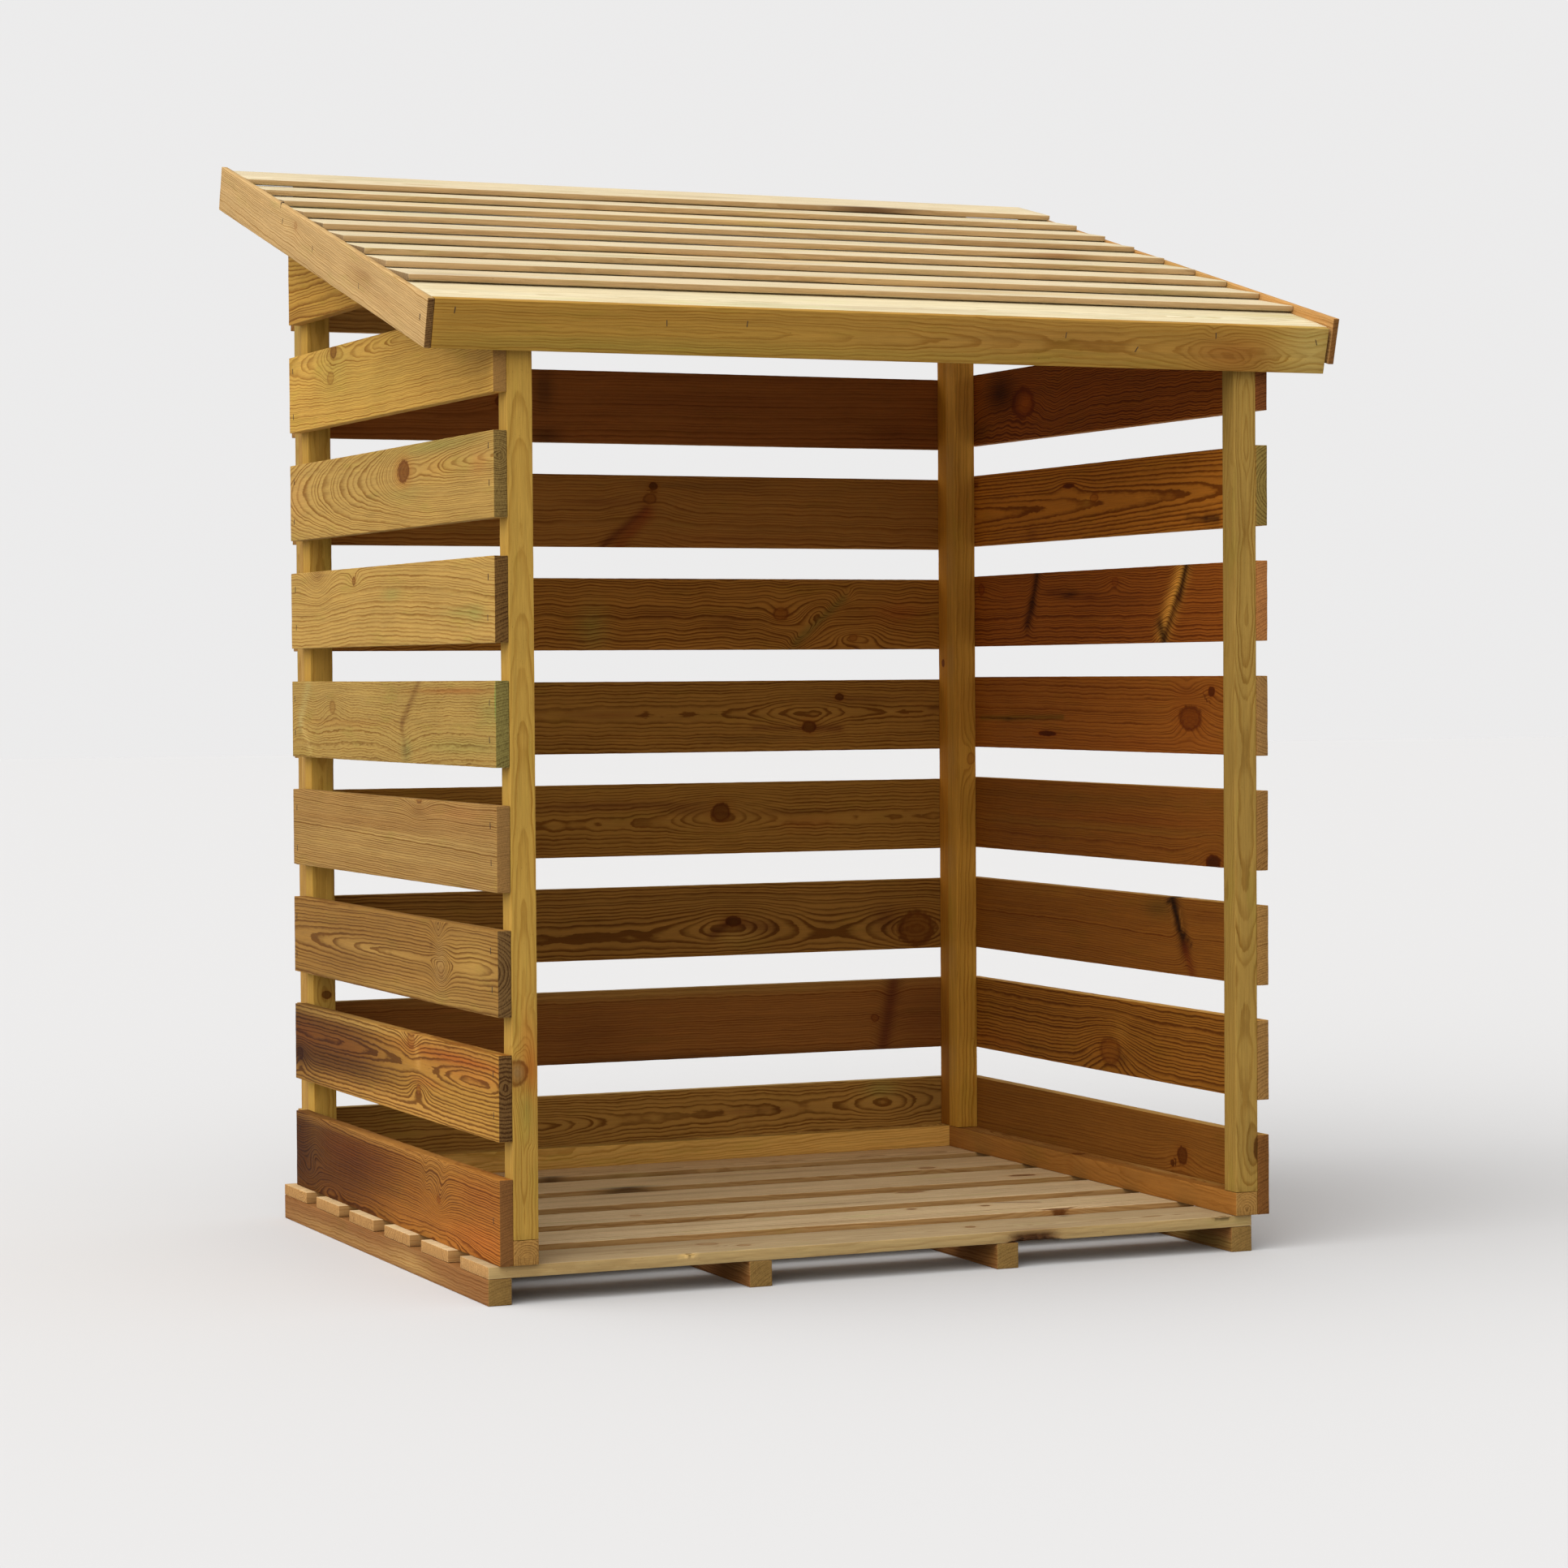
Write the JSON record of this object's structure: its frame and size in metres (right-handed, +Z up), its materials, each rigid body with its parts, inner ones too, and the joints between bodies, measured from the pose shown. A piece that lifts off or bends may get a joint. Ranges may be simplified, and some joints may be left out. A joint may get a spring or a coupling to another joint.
{
  "type": "log store",
  "caption": "Open-fronted timber log store with slatted sides, back and floor on bearers, under a sloping louvred lean-to roof.",
  "frame": {"origin": "centre of the overall outline, on the ground under the bearers", "axes": "+Z up, -Y towards the open front, +X to the right seen from the front"},
  "size_m": [1.146, 0.864, 1.3487],
  "materials": {
    "base_timber": "rough sawn, pressure treated",
    "floor_timber": "rough sawn, pressure treated",
    "wall_timber": "rough sawn, pressure treated",
    "frame_timber": "rough sawn, pressure treated",
    "roof_timber": "rough sawn, pressure treated"
  },
  "bodies": {
    "root": {"back_bottom_rail": "frame_timber", "back_left_post": "frame_timber", "back_right_post": "frame_timber", "back_slats": "wall_timber", "back_top_rail": "frame_timber", "barge_board_left": "roof_timber", "barge_board_right": "roof_timber", "bearer_centre_left": "base_timber", "bearer_centre_right": "base_timber", "bearer_left": "base_timber", "bearer_right": "base_timber", "fascia_board": "roof_timber", "floor_slat_1": "floor_timber", "floor_slat_2": "floor_timber", "floor_slat_3": "floor_timber", "floor_slat_4": "floor_timber", "floor_slat_5": "floor_timber", "floor_slat_6": "floor_timber", "left_bottom_rail": "frame_timber", "left_front_post": "frame_timber", "left_gable_slat": "wall_timber", "left_rear_post": "frame_timber", "left_top_rail": "frame_timber", "left_wall_slats": "wall_timber", "right_bottom_rail": "frame_timber", "right_front_post": "frame_timber", "right_gable_slat": "wall_timber", "right_rear_post": "frame_timber", "right_top_rail": "frame_timber", "right_wall_slats": "wall_timber", "roof_front_board": "roof_timber", "roof_slat_1": "roof_timber", "roof_slat_2": "roof_timber", "roof_slat_3": "roof_timber", "roof_slat_4": "roof_timber", "roof_slat_5": "roof_timber", "roof_slat_6": "roof_timber", "roof_slat_7": "roof_timber", "roof_slat_8": "roof_timber", "roof_slat_9": "roof_timber"}
  },
  "joints": []
}
